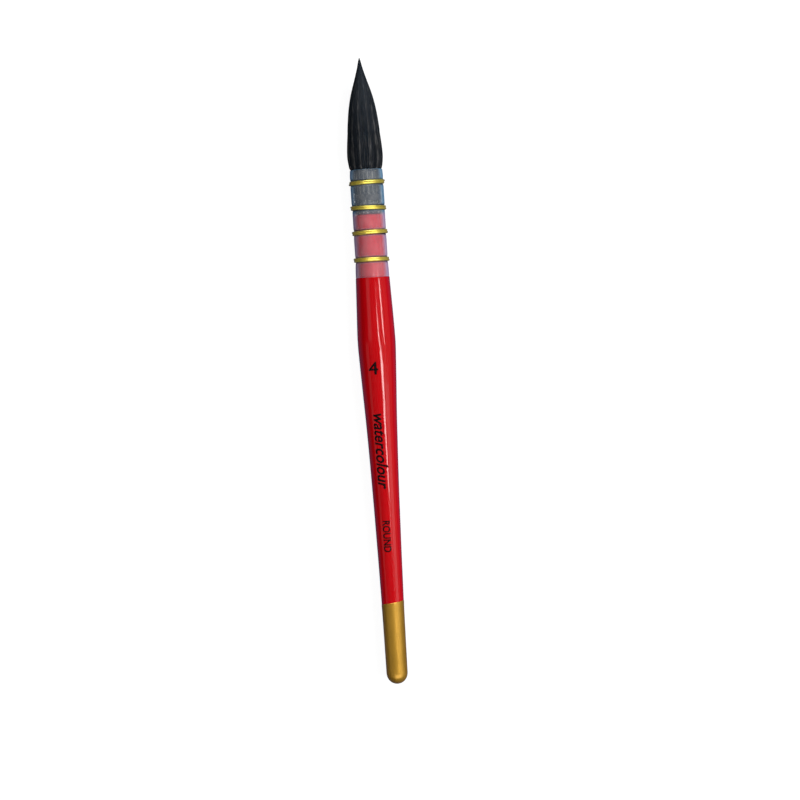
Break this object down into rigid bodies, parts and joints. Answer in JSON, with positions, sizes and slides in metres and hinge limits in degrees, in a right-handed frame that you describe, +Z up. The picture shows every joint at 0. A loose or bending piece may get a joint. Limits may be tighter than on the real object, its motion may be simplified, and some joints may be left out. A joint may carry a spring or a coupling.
{
  "type": "paint brush",
  "caption": "Round watercolour quill mop: soft pointed dark hair in a clear quill bound with brass wire, on a turned red lacquered handle with a gold dipped end.",
  "frame": {"origin": "centre of the lying brush's footprint, on the surface that it lies on", "axes": "+X along the brush towards the point of its hair, +Z up from the surface, +Y across the brush"},
  "size_m": [0.1756, 0.0104, 0.0104],
  "materials": {
    "red_lacquer": "turned wood under high-gloss red lacquer",
    "gold_lacquer": "satin metallic gold lacquer",
    "clear_quill": "slightly milky clear plastic",
    "brass_wire": "bright drawn wire, twisted",
    "root_resin": "cloudy amber resin",
    "binding_thread": "dark waxed thread",
    "dark_hair": "soft near-black hair with a low sheen"
  },
  "bodies": {
    "brush": {"handle": "red_lacquer", "gold_dip": "gold_lacquer", "quill_tube": "clear_quill", "wire_ring_1": "brass_wire", "wire_ring_2": "brass_wire", "wire_ring_3": "brass_wire", "wire_ring_4": "brass_wire", "root_cement": "root_resin", "root_binding": "binding_thread", "hair_root": "dark_hair"},
    "belly": {"hair_belly": "dark_hair"},
    "point": {"hair_point": "dark_hair"}
  },
  "joints": [
    {"name": "belly_flex", "type": "hinge", "parent": "brush", "child": "belly", "pos_m": [0.0563, 0, 0.00522], "axis": [0, 0, 1], "range_deg": [-28, 28], "stiffness_Nm_per_rad": 0.006},
    {"name": "point_flex", "type": "hinge", "parent": "belly", "child": "point", "pos_m": [0.07, 0, 0.00522], "axis": [0, 0, 1], "range_deg": [-32, 32], "stiffness_Nm_per_rad": 0.0015}
  ]
}
